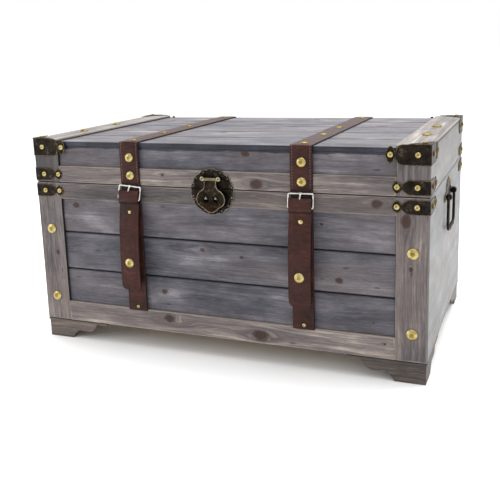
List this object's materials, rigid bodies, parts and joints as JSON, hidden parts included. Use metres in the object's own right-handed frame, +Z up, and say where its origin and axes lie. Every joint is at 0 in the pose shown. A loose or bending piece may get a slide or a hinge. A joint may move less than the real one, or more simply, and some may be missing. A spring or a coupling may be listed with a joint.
{
  "type": "wooden toy box",
  "caption": "Plank-fronted wooden trunk for toys: hinged lid, buckled leather straps, metal corners, round hasp lock and end handles, on ogee feet.",
  "frame": {"origin": "on the floor under the middle of the whole object's box, hardware included", "axes": "+X to the right-hand end seen from the front, +Y to the back, +Z up"},
  "size_m": [0.7876, 0.5018, 0.4124],
  "materials": {
    "blue_grey_board": "weathered blue-grey stain over softwood, matt",
    "tan_trim": "weathered grey-tan stain over softwood, matt",
    "end_panel": "smooth panel with thin grey stain, matt",
    "inside_ply": "bare plywood",
    "leather": "dark brown imitation leather, satin",
    "bronze": "dark antique bronze sheet, rubbed bright at the edges",
    "brass": "polished antique brass",
    "nickel": "bright nickel wire",
    "steel": "zinc-plated steel, satin"
  },
  "bodies": {
    "case": {"front_board_lower": "blue_grey_board", "front_board_middle": "blue_grey_board", "front_board_upper": "blue_grey_board", "case_bottom_rail": "tan_trim", "case_top_rail": "tan_trim", "case_stile_left": "tan_trim", "case_stile_right": "tan_trim", "case_end_left": "end_panel", "case_end_right": "end_panel", "case_back": "end_panel", "case_floor": "inside_ply", "foot_front_left": "tan_trim", "foot_front_right": "tan_trim", "foot_back_left": "tan_trim", "foot_back_right": "tan_trim", "case_bracket_front_left": "bronze", "case_bracket_front_right": "bronze", "case_bracket_back_left": "bronze", "case_bracket_back_right": "bronze", "case_strap_left": "leather", "case_strap_right": "leather", "handle_plate_left": "bronze", "handle_plate_right": "bronze", "hinge_case_leaf_left": "brass", "hinge_case_leaf_right": "brass", "lock_plate_lower": "bronze"},
    "lid": {"lid_top": "blue_grey_board", "lid_front_board": "blue_grey_board", "lid_back": "end_panel", "lid_front_rail": "tan_trim", "lid_stile_left": "tan_trim", "lid_stile_right": "tan_trim", "lid_end_left": "end_panel", "lid_end_right": "end_panel", "lid_end_rail_left": "tan_trim", "lid_end_rail_right": "tan_trim", "lid_cap_front_left": "bronze", "lid_cap_front_right": "bronze", "lid_cap_back_left": "bronze", "lid_cap_back_right": "bronze", "lid_bracket_front_left": "bronze", "lid_bracket_front_right": "bronze", "lid_bracket_back_left": "bronze", "lid_bracket_back_right": "bronze", "lid_strap_left": "leather", "lid_strap_right": "leather", "hinge_lid_leaf_left": "brass", "hinge_lid_leaf_right": "brass", "lock_plate_upper": "bronze", "hasp_pin": "brass"},
    "hasp": {"hasp": "bronze"},
    "strap_tail_left": {"strap_tail_left": "leather", "buckle_left": "nickel"},
    "strap_tail_right": {"strap_tail_right": "leather", "buckle_right": "nickel"},
    "bail_left": {"handle_bail_left": "bronze"},
    "bail_right": {"handle_bail_right": "bronze"},
    "stay_lower": {"stay_lower_arm": "steel"},
    "stay_upper": {"stay_upper_arm": "steel"}
  },
  "joints": [
    {"name": "lid_hinge", "type": "hinge", "parent": "case", "child": "lid", "pos_m": [0, 0.2474, 0.323], "axis": [-1, 0, 0], "range_deg": [0, 95]},
    {"name": "hasp_hinge", "type": "hinge", "parent": "lid", "child": "hasp", "pos_m": [0, -0.2427, 0.341], "axis": [-1, 0, 0], "range_deg": [0, 150]},
    {"name": "strap_tail_left_hinge", "type": "hinge", "parent": "lid", "child": "strap_tail_left", "pos_m": [-0.167, -0.2429, 0.327], "axis": [-1, 0, 0], "range_deg": [0, 120]},
    {"name": "strap_tail_right_hinge", "type": "hinge", "parent": "lid", "child": "strap_tail_right", "pos_m": [0.167, -0.2429, 0.327], "axis": [-1, 0, 0], "range_deg": [0, 120]},
    {"name": "bail_left_hinge", "type": "hinge", "parent": "case", "child": "bail_left", "pos_m": [-0.3878, 0.0036, 0.285], "axis": [0, 1, 0], "range_deg": [0, 100]},
    {"name": "bail_right_hinge", "type": "hinge", "parent": "case", "child": "bail_right", "pos_m": [0.3878, 0.0036, 0.285], "axis": [0, -1, 0], "range_deg": [0, 100]},
    {"name": "stay_lower_pivot", "type": "hinge", "parent": "case", "child": "stay_lower", "pos_m": [0.366, 0.1854, 0.235], "axis": [-1, 0, 0], "range_deg": [0, 95]},
    {"name": "stay_upper_pivot", "type": "hinge", "parent": "lid", "child": "stay_upper", "pos_m": [0.366, 0.0724, 0.355], "axis": [-1, 0, 0], "range_deg": [-95, 0]}
  ],
  "couplings": [
    {"joint": "stay_lower_pivot", "follows": "lid_hinge", "ratio": 1},
    {"joint": "stay_upper_pivot", "follows": "lid_hinge", "ratio": -1}
  ]
}
